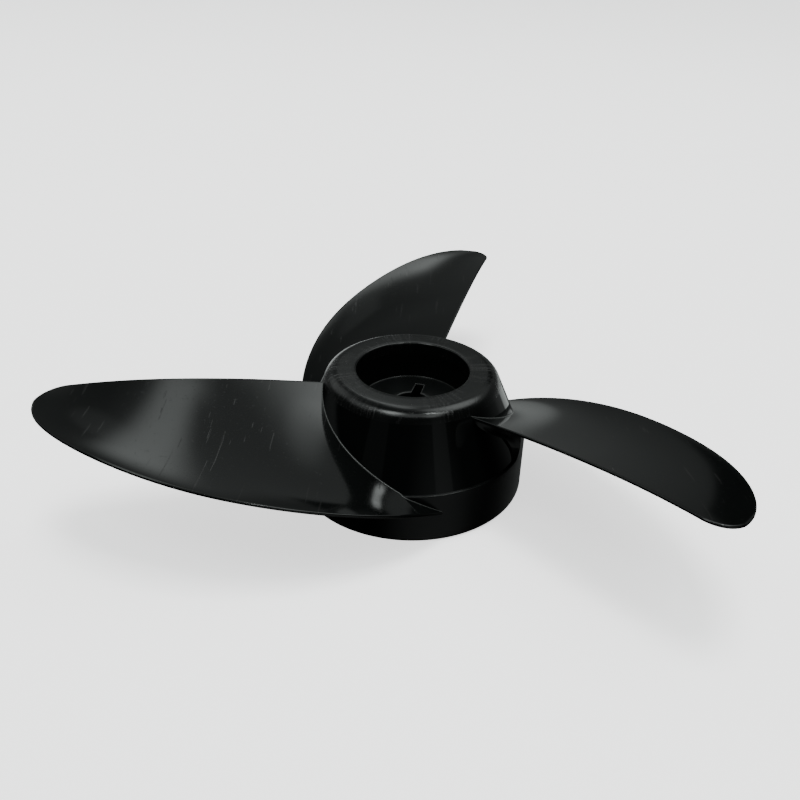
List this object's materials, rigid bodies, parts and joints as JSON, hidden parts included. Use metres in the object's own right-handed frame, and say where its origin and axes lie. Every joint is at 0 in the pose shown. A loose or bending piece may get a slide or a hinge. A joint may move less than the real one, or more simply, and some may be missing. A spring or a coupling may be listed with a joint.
{
  "type": "boat propeller",
  "caption": "Moulded three-bladed propeller with raked, swept-back blades and a tapered hub with a nut well, for an electric outboard motor.",
  "frame": {"origin": "on the shaft axis, in the plane of the hub's motor-side face", "axes": "+Z along the shaft axis, pointing aft, away from the motor; +X and +Y across it, with the first blade's tip at 200 degrees from +X"},
  "size_m": [0.223, 0.2112, 0.0482],
  "materials": {
    "cone_gloss": "glossy black moulded plastic",
    "blade_satin": "satin black moulded plastic, lightly scratched",
    "collar_satin": "satin black moulded plastic",
    "rim_satin": "satin black plastic with faint turning marks",
    "core_matte": "as-moulded black plastic"
  },
  "bodies": {
    "root": {"motor_collar": "collar_satin", "hub_cone": "cone_gloss", "aft_rim": "rim_satin", "nut_well": "core_matte", "nut_seat": "core_matte", "shaft_boss": "core_matte", "hub_rib_1": "core_matte", "hub_rib_2": "core_matte", "hub_rib_3": "core_matte", "hub_rib_4": "core_matte", "hub_rib_5": "core_matte", "hub_rib_6": "core_matte", "blade_1": "blade_satin", "blade_2": "blade_satin", "blade_3": "blade_satin", "blade_step_1": "collar_satin", "blade_step_2": "collar_satin", "blade_step_3": "collar_satin"}
  },
  "joints": []
}
